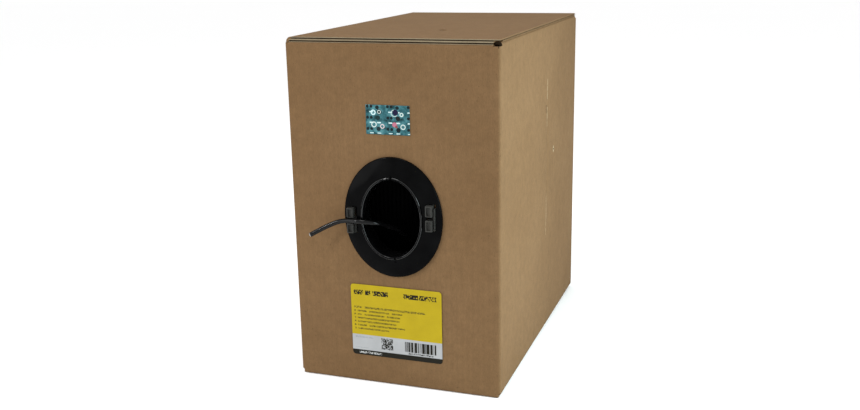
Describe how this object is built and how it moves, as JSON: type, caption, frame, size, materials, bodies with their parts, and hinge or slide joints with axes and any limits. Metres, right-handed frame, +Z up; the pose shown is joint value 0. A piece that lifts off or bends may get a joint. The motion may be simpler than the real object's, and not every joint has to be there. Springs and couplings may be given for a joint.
{
  "type": "cable spool box",
  "caption": "Upright corrugated carton holding a reel of cable on a fixed axle, with an oval front outlet, two cable clips and a full-width hinged top flap.",
  "frame": {"origin": "middle of the carton's underside, on the floor it stands on", "axes": "+Z up; the front panel with the outlet faces -Y; +X to the right seen from the front; the reel's axle runs along X"},
  "size_m": [0.25, 0.4266, 0.406],
  "materials": {
    "carton_board": "matte",
    "black_plastic": "gloss",
    "clip_plastic": "satin",
    "flange_board": "matte",
    "core_tube": "matte",
    "hub_plastic": "satin",
    "zinc_steel": "satin",
    "cable_jacket": "satin",
    "support_board": "matte",
    "label_paper": "satin",
    "foil_seal": "gloss"
  },
  "bodies": {
    "carton": {"front_panel": "carton_board", "right_panel": "carton_board", "back_panel": "carton_board", "left_panel": "carton_board", "glue_lap": "carton_board", "top_flap_inner": "carton_board", "top_flap_front": "carton_board", "top_flap_back": "carton_board", "bottom_flap_left": "carton_board", "bottom_flap_right": "carton_board", "bottom_flap_front": "carton_board", "bottom_flap_back": "carton_board", "outlet_bezel": "black_plastic", "outlet_backing_ring": "black_plastic", "cable_clip_left": "clip_plastic", "cable_clip_right": "clip_plastic", "axle_tube": "core_tube", "axle_cap_left": "hub_plastic", "axle_cap_right": "hub_plastic", "side_support_left": "support_board", "side_support_right": "support_board", "product_label": "label_paper", "seal_sticker": "foil_seal", "cable_tail": "cable_jacket"},
    "lid": {"top_flap_outer": "carton_board"},
    "spool": {"spool_flange_left": "flange_board", "spool_flange_right": "flange_board", "spool_core": "core_tube", "core_plug_left": "hub_plastic", "core_plug_right": "hub_plastic", "tie_rods": "zinc_steel", "tie_nuts": "zinc_steel", "wound_cable": "cable_jacket"}
  },
  "joints": [
    {"name": "top_flap", "type": "hinge", "parent": "carton", "child": "lid", "pos_m": [-0.125, 0, 0.406], "axis": [0, -1, 0], "range_deg": [0, 255]},
    {"name": "spool_spin", "type": "hinge", "parent": "carton", "child": "spool", "pos_m": [0, 0, 0.2015], "axis": [1, 0, 0], "continuous": true}
  ]
}
